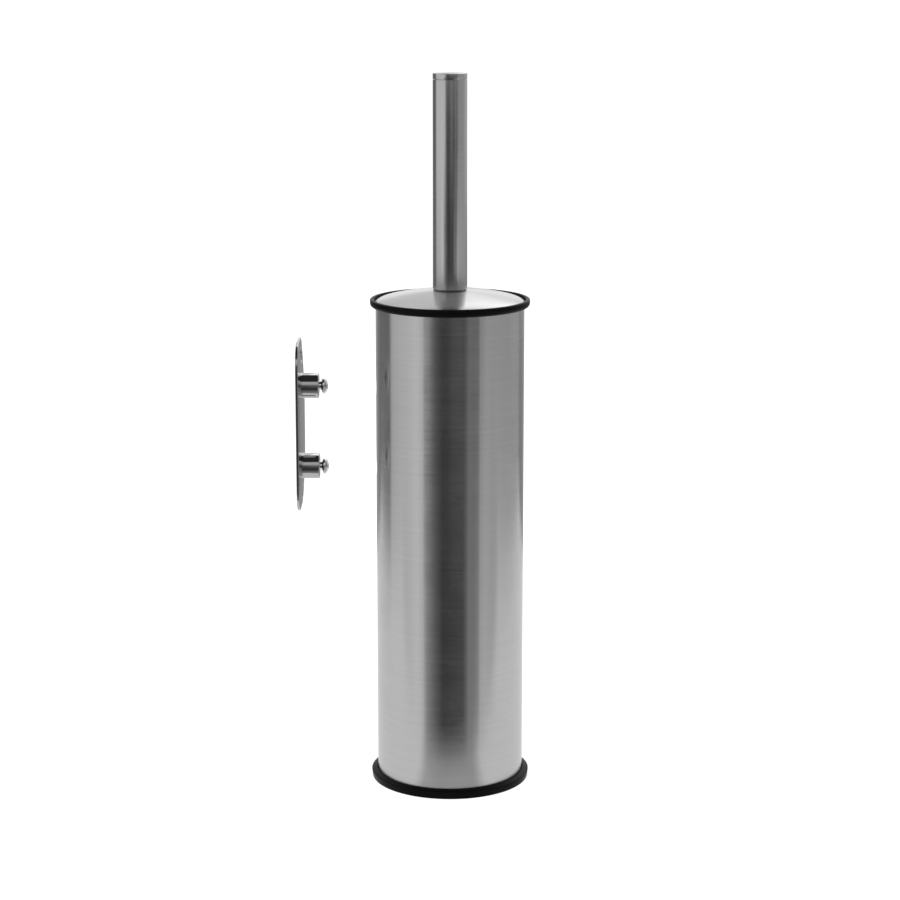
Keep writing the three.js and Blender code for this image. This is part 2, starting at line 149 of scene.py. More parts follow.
def rounded(corners):
    """Points of a closed outline from (x, y, fillet) corners, with an arc wherever the fillet isn't 0."""
    points = []
    for index, (x, y, fillet) in enumerate(corners):
        corner = Vector((x, y))
        if fillet == 0:
            points.append(corner)
            continue
        back = (Vector(corners[index - 1][:2]) - corner).normalized()
        ahead = (Vector(corners[(index + 1) % len(corners)][:2]) - corner).normalized()
        half = back.angle(ahead) / 2
        centre = corner + (back + ahead).normalized() * fillet / math.sin(half)
        start = (corner + back * fillet / math.tan(half) - centre).normalized()
        end = (corner + ahead * fillet / math.tan(half) - centre).normalized()
        for step in range(ARC_STEPS + 1):
            points.append(centre + start.slerp(end, step / ARC_STEPS) * fillet)
    return points


def arc(x, y, radius, first, last, steps):
    """Points along an arc, from one angle in degrees to another."""
    angles = [math.radians(first + (last - first) * step / steps) for step in range(steps + 1)]
    return [(x + radius * math.cos(a), y + radius * math.sin(a)) for a in angles]


def turned(name, outline, sides=ROUND):
    """A closed solid of revolution about Z. The outline is closed on itself or runs back along the axis."""
    bm = bmesh.new()
    rings = []
    for radius, height in outline:
        if radius < 1e-6:
            rings.append([bm.verts.new((0, 0, height * MM))] * sides)
            continue
        angles = [2 * math.pi * side / sides for side in range(sides)]
        rings.append([bm.verts.new(in_metres(around_z(radius, angle, height))) for angle in angles])
    for ring, above in zip(rings, rings[1:] + rings[:1]):
        for side in range(sides):
            after = (side + 1) % sides
            corners = list(dict.fromkeys([ring[side], ring[after], above[after], above[side]]))
            if len(corners) > 2:
                bm.faces.new(corners)
    return new_object(name, bm)


def lay_along_x(obj, height):
    """Turns a piece that was made about Z to lie about X, with its own heights as places along X."""
    obj.data.transform(Matrix.Translation((0, 0, height * MM)) @ Matrix.Rotation(math.pi / 2, 4, "Y"))
    return obj


def prism_along_x(name, outline, start, end):
    """A closed prism from an outline of (y, z) points, between two places along X."""
    bm = bmesh.new()
    near = [bm.verts.new(in_metres((start, y, z))) for y, z in outline]
    far = [bm.verts.new(in_metres((end, y, z))) for y, z in outline]
    bm.faces.new(near)
    bm.faces.new(far)
    for index in range(len(outline)):
        bm.faces.new([near[index - 1], near[index], far[index], far[index - 1]])
    return new_object(name, bm)


def cut(obj, tools):
    """Takes the tools' shapes out of a piece, and removes the tools."""
    for tool in tools:
        modifier = obj.modifiers.new(tool.name, "BOOLEAN")
        modifier.operation = "DIFFERENCE"
        modifier.object = tool
    evaluated = obj.evaluated_get(bpy.context.evaluated_depsgraph_get())
    mesh = bpy.data.meshes.new_from_object(evaluated)
    obj.modifiers.clear()
    obj.data = mesh
    for tool in tools:
        bpy.data.objects.remove(tool)
    return obj


def smooth(obj, sharp_above=32):
    """Shades a piece smooth, with a crease wherever two faces meet at more than this many degrees."""
    obj.data.shade_smooth()
    obj.data.set_sharp_from_angle(angle=math.radians(sharp_above))
    return obj


def place(obj, material, slot, body, *nodes):
    """Shades a finished piece smooth, gives it its material, puts it under its body and hides the CAD nodes
    that it stands for. The slot is not used.
    """
    smooth(obj)
    obj.data.materials.clear()
    obj.data.materials.append(material)
    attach(obj, body)
    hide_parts(*nodes)
    return obj


# ---- material helpers ----


def add(tree, kind, inputs=None, **settings):
    """Adds a node with its settings; each input is a value or the socket that it is linked to."""
    node = tree.nodes.new(kind)
    for key, value in settings.items():
        setattr(node, key, value)
    for key, value in (inputs or {}).items():
        if isinstance(value, bpy.types.NodeSocket):
            tree.links.new(value, node.inputs[key])
        else:
            node.inputs[key].default_value = value
    return node


def maths(tree, operation, *values):
    return add(tree, "ShaderNodeMath", dict(enumerate(values)), operation=operation).outputs[0]


def remap(tree, value, low, high, to_low, to_high):
    """The value's range from low to high, stretched to the range from to_low to to_high, and held there."""
    inputs = {"Value": value, "From Min": low, "From Max": high, "To Min": to_low, "To Max": to_high}
    return add(tree, "ShaderNodeMapRange", inputs).outputs[0]


def noise(tree, vector, scale, detail=2.0, roughness=0.5):
    inputs = {"Vector": vector, "Scale": scale, "Detail": detail, "Roughness": roughness}
    return add(tree, "ShaderNodeTexNoise", inputs).outputs[0]


def blend_colour(tree, factor, first, second):
    node = add(tree, "ShaderNodeMix", data_type="RGBA")
    tree.links.new(factor, node.inputs["Factor"])
    for socket, colour in ((node.inputs[6], first), (node.inputs[7], second)):
        if isinstance(colour, bpy.types.NodeSocket):
            tree.links.new(colour, socket)
        else:
            socket.default_value = colour
    return node.outputs[2]


def grey(value):
    return (value, value, value, 1)


def tinted(colour, factor):
    """The colour made darker or lighter by a factor, with full opacity."""
    return [min(part * factor, 1.0) for part in colour] + [1]


def object_place(tree):
    """The point on the piece, in the frame's metres."""
    return add(tree, "ShaderNodeTexCoord").outputs["Object"]


def xyz(tree, vector):
    """The x, y and z of a vector."""
    return add(tree, "ShaderNodeSeparateXYZ", {0: vector}).outputs


def degrees_from_viewer(tree, vector):
    """The vector's direction round Z, in degrees from the viewer's side with the right positive."""
    x, y, _ = xyz(tree, vector)
    return maths(tree, "DEGREES", maths(tree, "ARCTAN2", x, maths(tree, "MULTIPLY", y, -1.0)))


def radius_about_z(tree, vector):
    """The vector's distance from the Z axis."""
    x, y, _ = xyz(tree, vector)
    square = maths(tree, "MULTIPLY_ADD", x, x, maths(tree, "MULTIPLY", y, y))
    return maths(tree, "SQRT", square)


def unevenness(tree, first, second, amounts):
    """The sum of two noises, each centred on zero and held within its amount on either side."""
    parts = [remap(tree, part, 0.3, 0.7, -most, most) for part, most in zip((first, second), amounts)]
    return maths(tree, "ADD", *parts)


def new_material(name, **constants):
    """A material with one Principled shader; returns the material, its tree and the shader."""
    material = bpy.data.materials.new(name)
    material.use_nodes = True
    tree = material.node_tree
    tree.nodes.clear()
    shader = add(tree, "ShaderNodeBsdfPrincipled")
    for key, value in constants.items():
        shader.inputs[key.replace("_", " ")].default_value = value
    add(tree, "ShaderNodeOutputMaterial", {"Surface": shader.outputs[0]})
    return material, tree, shader


def bump(tree, shader, height, depth):
    """Height runs from 0 to 1 and stands for a depth in metres."""
    node = add(tree, "ShaderNodeBump", {"Height": height, "Distance": depth, "Strength": 1.0})
    tree.links.new(node.outputs[0], shader.inputs["Normal"])


# ---- materials ----


def brushed_steel(name, tone, roughness, grain=0.25 * MM, streak=25 * MM, anisotropy=0.9):
    """Stainless steel ground in rings about Z, which draws its reflections out across the grinding lines."""
    material, tree, shader = new_material(
        name, Metallic=1.0, Anisotropic=anisotropy, Anisotropic_Rotation=0.25
    )
    vector = object_place(tree)
    x, y, z = xyz(tree, vector)
    across = maths(tree, "ADD", z, radius_about_z(tree, vector))
    lines = add(
        tree,
        "ShaderNodeCombineXYZ",
        {
            0: maths(tree, "DIVIDE", x, streak),
            1: maths(tree, "DIVIDE", y, streak),
            2: maths(tree, "DIVIDE", across, grain),
        },
    ).outputs[0]
    fine = noise(tree, lines, 1.0, detail=4.0, roughness=0.65)
    broad = noise(tree, lines, 0.16, detail=3.0, roughness=0.6)
    cloud = noise(tree, vector, 55.0, detail=3.0)
    tone_noise = remap(tree, maths(tree, "ADD", fine, broad), 0.6, 1.4, 0.0, 1.0)
    colour = blend_colour(tree, tone_noise, grey(tone * 0.96), (tone * 1.03, tone * 1.03, tone * 1.04, 1))
    tree.links.new(colour, shader.inputs["Base Color"])
    uneven = unevenness(tree, fine, cloud, (0.04, 0.02))
    tree.links.new(maths(tree, "ADD", uneven, roughness), shader.inputs["Roughness"])
    tangent = add(tree, "ShaderNodeTangent", direction_type="RADIAL", axis="Z")
    tree.links.new(tangent.outputs[0], shader.inputs["Tangent"])
    bump(tree, shader, maths(tree, "ADD", fine, maths(tree, "MULTIPLY", broad, 1.5)), 0.0025 * MM)
    return material


def polished_metal(name, tone, roughness):
    """Plated or polished steel: a mirror with a faint haze, fine wiping marks and a slight waviness."""
    material, tree, shader = new_material(name, Metallic=1.0)
    vector = object_place(tree)
    haze = noise(tree, vector, 90.0, detail=4.0, roughness=0.6)
    wiped = add(
        tree,
        "ShaderNodeMapping",
        {"Vector": vector, "Scale": (900.0, 260.0, 4200.0), "Rotation": (0.5, 0.2, 0.3)},
    ).outputs[0]
    marks = remap(tree, noise(tree, wiped, 1.0, detail=3.0, roughness=0.7), 0.62, 0.8, 0.0, 1.0)
    colour = blend_colour(tree, haze, grey(tone * 0.95), (tone, tone, tone * 1.02, 1))
    tree.links.new(colour, shader.inputs["Base Color"])
    hazy = remap(tree, haze, 0.3, 0.7, roughness * 0.7, roughness * 1.5)
    tree.links.new(maths(tree, "MULTIPLY_ADD", marks, 0.08, hazy), shader.inputs["Roughness"])
    wave = noise(tree, vector, 140.0, detail=1.0)
    bump(tree, shader, maths(tree, "SUBTRACT", wave, maths(tree, "MULTIPLY", marks, 0.05)), 0.01 * MM)
    return material


def moulded_plastic(name, colour, roughness, pale=1.5, grain=0.35 * MM, specular=0.5):
    """Injection-moulded plastic: the fine grain of the mould, slightly uneven gloss and a few light rubs."""
    material, tree, shader = new_material(name, IOR=1.49, Specular_IOR_Level=specular)
    vector = object_place(tree)
    skin = noise(tree, vector, 1 / grain, detail=2.0, roughness=0.6)
    patch = noise(tree, vector, 70.0, detail=3.0)
    rubbed = remap(tree, noise(tree, vector, 380.0, detail=5.0, roughness=0.7), 0.56, 0.74, 0.0, 1.0)
    base = blend_colour(tree, patch, tinted(colour, 0.85), tinted(colour, 1.15))
    worn = blend_colour(tree, rubbed, base, tinted(colour, pale))
    tree.links.new(worn, shader.inputs["Base Color"])
    uneven = unevenness(tree, patch, skin, (0.05, 0.04))
    tree.links.new(maths(tree, "ADD", uneven, roughness), shader.inputs["Roughness"])
    bump(tree, shader, skin, 0.006 * MM)
    return material


def nylon(name, colour):
    """White nylon filament: each strand has its own tone, and the strands are darker and slightly yellower
    towards the hub.
    """
    material, tree, shader = new_material(name, IOR=1.53, Subsurface_Weight=0.15, Subsurface_Scale=0.002)
    vector = object_place(tree)
    strand = noise(tree, vector, 700.0, detail=2.0)
    outwards = remap(tree, radius_about_z(tree, vector), 0.011, 0.034, 0.0, 1.0)
    root = [colour[0] * 0.86, colour[1] * 0.85, colour[2] * 0.8, 1]
    strand_colour = blend_colour(tree, strand, tinted(colour, 0.9), tinted(colour, 1.0))
    tree.links.new(blend_colour(tree, outwards, root, strand_colour), shader.inputs["Base Color"])
    tree.links.new(remap(tree, strand, 0.3, 0.7, 0.3, 0.5), shader.inputs["Roughness"])
    bump(tree, shader, noise(tree, vector, 2500.0), 0.01 * MM)
    return material


STEEL = brushed_steel("brushed_steel", tone=0.6, roughness=0.16, anisotropy=1.0)
LID_STEEL = brushed_steel("spun_steel", tone=0.6, roughness=0.24, anisotropy=0.9)
HANDLE_STEEL = brushed_steel(
    "brushed_handle_steel", tone=0.6, roughness=0.16, grain=0.2 * MM, streak=12 * MM, anisotropy=1.0
)
PLAIN_STEEL = brushed_steel("drawn_steel", tone=0.5, roughness=0.3, grain=0.3 * MM, anisotropy=0.5)
CHROME = polished_metal("polished_chrome", tone=0.56, roughness=0.05)
SCREW_STEEL = polished_metal("polished_screw_steel", tone=0.92, roughness=0.1)
BLACK_PLASTIC = moulded_plastic("black_plastic", (0.0025, 0.0025, 0.0027), 0.36, pale=1.3, specular=0.06)
CUP_PLASTIC = moulded_plastic("cup_plastic", (0.02, 0.02, 0.021), 0.38)
HUB_PLASTIC = moulded_plastic("hub_plastic", (0.74, 0.74, 0.72), 0.4, pale=1.1)
NYLON = nylon("nylon_bristle", (0.82, 0.82, 0.79))


# ---- holder ----


def keyhole_tool(height):
    """Cutter for a keyhole in the wall at -X: the round entry, and the slot above it for the screw's neck."""
    lean = math.degrees(math.asin(SLOT_HALF_WIDTH / KEYHOLE_ENTRY))
    entry = arc(0, height, KEYHOLE_ENTRY, 90 + lean, 450 - lean, 40)
    slot_end = arc(0, height + SLOT_RISE, SLOT_HALF_WIDTH, 0, 180, 20)
    radius = span("outer_tube")[0]
    return prism_along_x(f"keyhole_tool_{height:.0f}", entry + slot_end, -radius - 5, -radius + 10)


def make_tube():
    radius, bottom, top = span("outer_tube")
    ring_pitch = 4.0
    rings = round((top - bottom) / ring_pitch)
    heights = [bottom + (top - bottom) * ring / rings for ring in range(rings + 1)]
    outline = [(radius, height) for height in heights]
    outline += [(radius - SHEET, height) for height in reversed(heights)]
    tube = turned("steel_tube", outline)
    tools = [keyhole_tool(span_along_x(f"hook_screw_{end}")[3]) for end in ("lower", "upper")]
    place(cut(tube, tools), STEEL, "brushed_steel", "holder", "outer_tube")


def make_rim():
    radius, bottom, top = span("rim_ring")
    tube_radius, _, tube_top = span("outer_tube")
    bore = tube_radius - SHEET
    lip_inside = radius - RIM_LIP
    ledge = top - RIM_RECESS
    lower_edge = top - RIM_HEIGHT
    skirt_inside = bore - BORE_GAP - SKIRT_WALL
    corners = [
        (skirt_inside, bottom, 0.3),
        (bore - BORE_GAP, bottom, 0.3),
        (bore - BORE_GAP, tube_top + BORE_GAP, 0),
        (tube_radius + BORE_GAP, tube_top + BORE_GAP, 0),
        (tube_radius + BORE_GAP, lower_edge, 0.2),
        (radius, lower_edge, 2.3),
        (radius, top, 0.8),
        (lip_inside, top, 0.3),
        (lip_inside, ledge, 0),
        (skirt_inside, ledge, 0.3),
    ]
    place(turned("rim_ring_moulding", rounded(corners)), BLACK_PLASTIC, "black_plastic", "holder", "rim_ring")


def make_base():
    radius, floor, skirt_top = span("base_cap")
    tube_radius = span("outer_tube")[0]
    skirt = tube_radius - SHEET - BORE_GAP
    foot = radius - 0.5
    foot_inside = foot - FOOT_RING
    corners = [
        (0, floor, 0),
        (CENTRE_FOOT, floor, 0.25),
        (CENTRE_FOOT + BASE_RELIEF, floor + BASE_RELIEF, 0.25),
        (foot_inside - BASE_RELIEF, floor + BASE_RELIEF, 0.25),
        (foot_inside, floor, 0.25),
        (foot, floor, 0.3),
        (radius, BASE_SHOULDER, 0.45),
        (tube_radius + BORE_GAP, BASE_COLLAR, 0.12),
        (tube_radius + BORE_GAP, BASE_GROOVE, 0),
        (skirt, BASE_GROOVE, 0),
        (skirt, skirt_top, 0.3),
        (skirt - SKIRT_WALL, skirt_top, 0.3),
        (skirt - SKIRT_WALL, BASE_FLOOR, 0),
        (0, BASE_FLOOR, 0),
    ]
    place(turned("base_moulding", rounded(corners)), BLACK_PLASTIC, "black_plastic", "holder", "base_cap")


def make_drip_cup():
    radius, bottom, top = span("drip_cup")
    wall = 1.1
    draft = 0.3
    floor = bottom + 1.8
    corners = [
        (0, bottom, 0),
        (radius - draft, bottom, 2.2),
        (radius, top, 0.5),
        (radius - wall, top, 0.5),
        (radius - draft - wall, floor, 1.6),
        (0, floor, 0),
    ]
    place(turned("drip_cup_moulding", rounded(corners)), CUP_PLASTIC, "cup_plastic", "holder", "drip_cup")


# ---- lid ----


def sphere_height(radius, below=0.0):
    """Height of the plain dome at a radius, or of a surface that lies some way below it."""
    lid_top = span("lid_cover")[2]
    centre = lid_top - math.sqrt(LID_SPHERE**2 - LID_HOLE**2)
    return centre + math.sqrt((LID_SPHERE - below) ** 2 - radius**2)


def dome_height(radius, below=0.0):
    """Height of the lid at a radius, with its edge turned down into the rim."""
    lid_radius = span("lid_cover")[0]
    edge = span("rim_ring")[2] - LID_RECESS
    turn = max(0.0, (radius - LID_TURN) / (lid_radius - LID_TURN)) ** 3
    return sphere_height(radius, below) - turn * (sphere_height(lid_radius) - edge)


def make_lid():
    radius = span("lid_cover")[0]
    edge_fillet = 0.3
    outermost = radius - edge_fillet
    steps = 24
    radii = [outermost + (LID_HOLE - outermost) * step / steps for step in range(steps + 1)]
    upper = [(r, dome_height(r)) for r in radii]
    lower = [(r, dome_height(r, SHEET)) for r in reversed(radii)]
    rim_height = (dome_height(radius) + dome_height(radius, SHEET)) / 2
    edge = arc(outermost, rim_height, edge_fillet, -60, 60, 6)
    place(turned("lid_dome", upper + lower + edge), LID_STEEL, "brushed_steel", "lid", "lid_cover")


def make_locating_ring():
    radius, bottom, _ = span("lid_locating_ring")
    inside = radius - LID_RING_WALL
    below = SHEET + BORE_GAP
    corners = [
        (inside, bottom, 0.4),
        (radius, bottom, 0.7),
        (radius, dome_height(radius, below), 0.2),
        (inside, dome_height(inside, below), 0.2),
    ]
    ring = turned("lid_ring_moulding", rounded(corners))
    place(ring, BLACK_PLASTIC, "black_plastic", "lid", "lid_locating_ring")


def make_bush():
    flange, bottom, top = span("lid_bush")
    flange_top = dome_height(flange, SHEET + BORE_GAP)
    body = LID_HOLE - BORE_GAP
    bore = STEM_RADIUS + BORE_GAP
    corners = [
        (bore, bottom, 0.3),
        (body, bottom, 0.4),
        (body, flange_top - 2, 0),
        (flange, flange_top - 1.6, 0.3),
        (flange, flange_top, 0.2),
        (body, flange_top, 0),
        (body, top, 0.2),
        (bore, top, 0.2),
    ]
    bush = turned("bush_moulding", rounded(corners), SLIM_ROUND)
    place(bush, BLACK_PLASTIC, "black_plastic", "lid", "lid_bush")


# ---- brush: handle and stem ----


def make_handle():
    radius, foot, top = span("handle_tube")
    corners = [
        (radius - HANDLE_WALL, foot, 0.1),
        (radius, foot, 0.25),
        (radius, top, 0.12),
        (radius - HANDLE_WALL, top, 0.1),
    ]
    tube = turned("steel_handle", rounded(corners), SLIM_ROUND)
    place(tube, HANDLE_STEEL, "brushed_steel", "brush", "handle_tube")


def make_end_cap():
    radius, bottom, top = span("handle_end_cap")
    seam = span("handle_tube")[2] + 0.2
    spigot = radius - HANDLE_WALL - BORE_GAP
    corners = [
        (0, bottom, 0),
        (spigot, bottom, 0.4),
        (spigot, seam, 0),
        (radius, seam, 0.12),
        (radius, top, 0.45),
        (0, top, 0),
    ]
    cap = turned("steel_end_cap", rounded(corners), SLIM_ROUND)
    place(cap, HANDLE_STEEL, "brushed_steel", "brush", "handle_end_cap")


def make_foot_washer():
    radius, bottom, top = span("foot_washer")
    bore = STEM_RADIUS + BORE_GAP
    corners = [(bore, bottom, 0), (radius, bottom, 0.05), (radius, top, 0.05), (bore, top, 0)]
    washer = turned("steel_washer", rounded(corners), SLIM_ROUND)
    place(washer, PLAIN_STEEL, "plain_steel", "brush", "foot_washer")


def make_stem():
    radius, bottom, top = span("stem")
    corners = [(0, bottom, 0), (radius, bottom, 0.5), (radius, top, 0.5), (0, top, 0)]
    rod = turned("steel_stem", rounded(corners), SLIM_ROUND)
    place(rod, PLAIN_STEEL, "plain_steel", "brush", "stem")


def make_retaining_ring():
    radius, bottom, top = span("stem_retaining_ring")
    bore = STEM_RADIUS + 0.2
    corners = [(bore, bottom, 0.2), (radius, bottom, 0.3), (radius, top, 0.3), (bore, top, 0.2)]
    ring = turned("stem_collar", rounded(corners), SLIM_ROUND)
    place(ring, PLAIN_STEEL, "plain_steel", "brush", "stem_retaining_ring")


def dress_handle_plug():
    """The plug is hidden inside the handle, so its CAD shape stays and only gets its material."""
    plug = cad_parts["handle_plug"]
    plug.data.materials.clear()
    plug.data.materials.append(BLACK_PLASTIC)


# ---- brush: hub and bristles ----


def make_hub():
    """The hub with a slightly proud band at each row of tufts."""
    radius, bottom, neck_top = span("brush_hub")
    neck = 6.4
    bore = STEM_RADIUS + BORE_GAP
    socket_floor = span("stem")[1] - BORE_GAP
    corners = [(0, bottom, 0), (radius, bottom, 1.2)]
    for row in range(BRISTLE_ROWS):
        _, low, high = span(f"bristle_row_{row + 1:02d}")
        middle = (low + high) / 2
        corners += [
            (radius, middle - HUB_BAND_HEIGHT / 2 - 0.3, 0.3),
            (HUB_BAND, middle - HUB_BAND_HEIGHT / 2 + 0.3, 0.3),
            (HUB_BAND, middle + HUB_BAND_HEIGHT / 2 - 0.3, 0.3),
            (radius, middle + HUB_BAND_HEIGHT / 2 + 0.3, 0.3),
        ]
    hub_top = corners[-1][1] + 0.9
    corners += [
        (radius, hub_top, 0.6),
        (neck, hub_top + 4, 0.8),
        (neck, neck_top, 0.5),
        (bore, neck_top, 0.2),
        (bore, socket_floor, 0),
        (0, socket_floor, 0),
    ]
    hub = turned("hub_moulding", rounded(corners), SLIM_ROUND)
    place(hub, HUB_PLASTIC, "hub_plastic", "brush", "brush_hub")


class Strands:
    """Collects filaments, each a closed four-sided rod along three stretches, and makes one mesh of them."""

    def __init__(self):
        self.points = []
        self.faces = []

    def add(self, root, tip, bow):
        """One filament from root to tip, pushed aside by the vector bow in its middle."""
        along = (tip - root).normalized()
        side = along.orthogonal().normalized()
        up = along.cross(side)
        first = len(self.points)
        for station in range(4):
            share = station / 3
            centre = root.lerp(tip, share) + bow * math.sin(math.pi * share)
            for corner in range(4):
                angle = math.pi / 2 * corner
                offset = (side * math.cos(angle) + up * math.sin(angle)) * FILAMENT_RADIUS
                self.points.append((centre + offset) * MM)
        self.faces.append([first + corner for corner in range(4)])
        for station in range(3):
            low = first + 4 * station
            for corner in range(4):
                after = (corner + 1) % 4
                self.faces.append([low + corner, low + 4 + corner, low + 4 + after, low + after])
        self.faces.append([first + 12 + corner for corner in reversed(range(4))])

    def mesh_object(self, name):
        bm = bmesh.new()
        verts = [bm.verts.new(point) for point in self.points]
        for face in self.faces:
            bm.faces.new([verts[index] for index in face])
        return new_object(name, bm)


def make_bristle_row(row, rng):
    """One row of tufts. Each tuft leaves the hub as a tight bundle and fans out towards its end."""
    node = f"bristle_row_{row + 1:02d}"
    _, low, high = span(node)
    middle = (low + high) / 2
    longest = reach(node)
    strands = Strands()
    for tuft in range(TUFTS_IN_ROW):
        heading = 2 * math.pi * (tuft + (row % 2) / 2) / TUFTS_IN_ROW
        for _ in range(FILAMENTS_IN_TUFT):
            angle = rng.uniform(0, 2 * math.pi)
            spread = math.sqrt(rng.random())
            turn = heading + TIP_FAN * spread * math.cos(angle) + rng.gauss(0, 0.015)
            rise = TIP_RISE * spread * math.sin(angle) + rng.gauss(0, 0.3)
            length = longest - rng.uniform(0.1, 1.3)
            root_turn = heading + ROOT_FAN * spread * math.cos(angle)
            root = Vector(around_z(HUB_BAND - 1, root_turn, middle + ROOT_RISE * spread * math.sin(angle)))
            tip = Vector(around_z(length, turn, middle + rise))
            bow = Vector([rng.gauss(0, 0.35) for _ in range(3)])
            strands.add(root, tip, bow)
    obj = strands.mesh_object(f"bristles_{row + 1:02d}")
    place(obj, NYLON, "nylon_bristle", "brush", node)


def make_bristle_tip(rng):
    """The tufts in the hub's lower end, fanned out to a dome."""
    radius, low, high = span("bristle_tip")
    strands = Strands()
    for _ in range(FILAMENTS_IN_TIP):
        heading = rng.uniform(0, 2 * math.pi)
        spread = math.sqrt(rng.random())
        root_radius = 7.5 * spread
        tip_radius = (radius - 1) * spread
        drop = (high - low - 0.4) * math.sqrt(1 - 0.8 * spread**2) - rng.uniform(0, 0.8)
        root = Vector(around_z(root_radius, heading, high + 0.6))
        turn = heading + rng.gauss(0, 0.06)
        tip = Vector(around_z(tip_radius, turn, high - drop))
        strands.add(root, tip, Vector([rng.gauss(0, 0.2) for _ in range(3)]))
    place(strands.mesh_object("bristles_tip"), NYLON, "nylon_bristle", "brush", "bristle_tip")


# ---- wall bracket ----


def rounded_rectangle(width, length, corner, corner_steps=16, side_step=4.0):
    """Points round a rectangle with round corners, centred on the origin, with points along its sides too."""
    points = []
    for quarter, (side_x, side_y) in enumerate([(1, 1), (-1, 1), (-1, -1), (1, -1)]):
        x = side_x * (width / 2 - corner)
        y = side_y * (length / 2 - corner)
        points += arc(x, y, corner, 90 * quarter, 90 * quarter + 90, corner_steps)
        straight = width - 2 * corner if quarter % 2 == 0 else length - 2 * corner
        count = max(1, round(straight / side_step))
        start = Vector(points[-1])
        heading = Vector([(-1, 0), (0, -1), (1, 0), (0, 1)][quarter])
        points += [tuple(start + heading * straight * step / count) for step in range(1, count)]
    return points


def plate_layers(crown):
    """(inset, scale, height) of each outline from the plate's back over its edge to its crowned face."""
    fillet = 0.35
    layers = []
    for step in range(ARC_STEPS + 1):
        angle = math.pi / 2 * step / ARC_STEPS
        layers.append((fillet * (1 - math.sin(angle)), 1, fillet * (1 - math.cos(angle))))
    for step in range(ARC_STEPS + 1):
        angle = math.pi / 2 * step / ARC_STEPS
        layers.append((fillet * (1 - math.cos(angle)), 1, PLATE_EDGE - fillet * (1 - math.sin(angle))))
    face_steps = 16
    for step in range(1, face_steps):
        scale = 1 - step / face_steps
        layers.append((fillet, scale, PLATE_EDGE + crown * (1 - scale**2)))
    return layers


def crowned_plate(back, middle, width, length, crown):
    """The plate without its holes: nested outlines from its back over its edge to the crown's middle."""
    bm = bmesh.new()
    rings = []
    for inset, scale, height in plate_layers(crown):
        outline = rounded_rectangle(width - 2 * inset, length - 2 * inset, PLATE_CORNER - inset)
        points = [(back + height, y * scale, middle + z * scale) for y, z in outline]
        rings.append([bm.verts.new(in_metres(point)) for point in points])
    for ring, above in zip(rings, rings[1:]):
        for index in range(len(ring)):
            bm.faces.new([ring[index - 1], ring[index], above[index], above[index - 1]])
    bm.faces.new(rings[0])
    face_middle = bm.verts.new(in_metres((back + PLATE_EDGE + crown, 0, middle)))
    last = rings[-1]
    for index in range(len(last)):
        bm.faces.new([last[index - 1], last[index], face_middle])
    return new_object("bracket_plate", bm)


def wall_hole_tool(side, back, height):
    """Cutter for a countersunk hole for a wall screw."""
    sink_start = back + 0.5
    outline = [
        (0, back - 1),
        (WALL_HOLE, back - 1),
        (WALL_HOLE, sink_start),
        (WALL_HOLE + 3, sink_start + 3),
        (0, sink_start + 3),
    ]
    return lay_along_x(turned(f"wall_hole_tool_{side}", outline, SLIM_ROUND), height)


def rivet_hole_tool(end, back):
    """Cutter for the hole that a boss is riveted into."""
    height = span_along_x(f"boss_{end}")[3]
    radius = BOSS_SPIGOT + BORE_GAP
    outline = [(0, back - 1), (radius, back - 1), (radius, back + 1), (0, back + 1)]
    return lay_along_x(turned(f"rivet_hole_tool_{end}", outline, SLIM_ROUND), height)


def make_wall_plate():
    low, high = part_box("wall_plate")
    back = low.x / MM
    width = (high.y - low.y) / MM
    length = (high.z - low.z) / MM
    middle = (low.z + high.z) / 2 / MM
    crown = (high.x - low.x) / MM - PLATE_EDGE
    plate = crowned_plate(back, middle, width, length, crown)
    tools = [wall_hole_tool(side, back, middle + side * WALL_HOLE_OFFSET) for side in (-1, 1)]
    tools += [rivet_hole_tool(end, back) for end in ("lower", "upper")]
    plate = place(cut(plate, tools), CHROME, "polished_chrome", "wall_bracket", "wall_plate")
    plate.visible_glossy = False  # the tube doesn't mirror the plate and the screws, as the photo asks for


def make_boss(end):
    radius, start, face, height = span_along_x(f"boss_{end}")
    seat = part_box("wall_plate")[0].x / MM + PLATE_EDGE
    bore = SCREW_SHANK + BORE_GAP
    corners = [
        (0, start, 0),
        (BOSS_SPIGOT, start, 0.2),
        (BOSS_SPIGOT, seat, 0),
        (radius, seat, 0),
        (radius, face, 0.5),
        (bore, face, 0.2),
        (bore, face - 8, 0),
        (0, face - 8, 0),
    ]
    boss = lay_along_x(turned(f"bracket_boss_{end}", rounded(corners), SLIM_ROUND), height)
    place(boss, CHROME, "polished_chrome", "wall_bracket", f"boss_{end}")


def make_hook_screw(end):
    """A button-head screw: conical under its head, domed in front, with a hexagon socket."""
    radius, start, tip, height = span_along_x(f"hook_screw_{end}")
    brim = tip - HEAD_DOME
    neck_end = brim - HEAD_CONE
    dome = arc(0, 0, 1, 0, 90, 12)
    outline = [
        (0, start),
        (SCREW_SHANK, start),
        (SCREW_SHANK, neck_end),
        (radius - 0.5, brim - 0.2),
        *[(radius * x, brim + HEAD_DOME * y) for x, y in dome],
    ]
    screw = lay_along_x(turned(f"hook_screw_turned_{end}", outline, SLIM_ROUND), height)
    across_corners = SOCKET_WIDTH / math.cos(math.pi / 6)
    hexagon = [(y, z + height) for y, z in arc(0, 0, across_corners / 2, 30, 330, 5)]
    socket = prism_along_x(f"socket_tool_{end}", hexagon, tip - SOCKET_DEPTH, tip + 1)
    screw = place(cut(screw, [socket]), SCREW_STEEL, "screw_steel", "wall_bracket", f"hook_screw_{end}")
    screw.visible_glossy = False


# ---- studio ----

CAMERA_DISTANCE = 1.2866  # from the tube's axis, towards -Y
CAMERA_HEIGHT = 0.4551
CAMERA_TILT = 11.8825  # degrees below the horizon
CAMERA_LENS = 96.757  # millimetres, on a sensor 36 mm wide

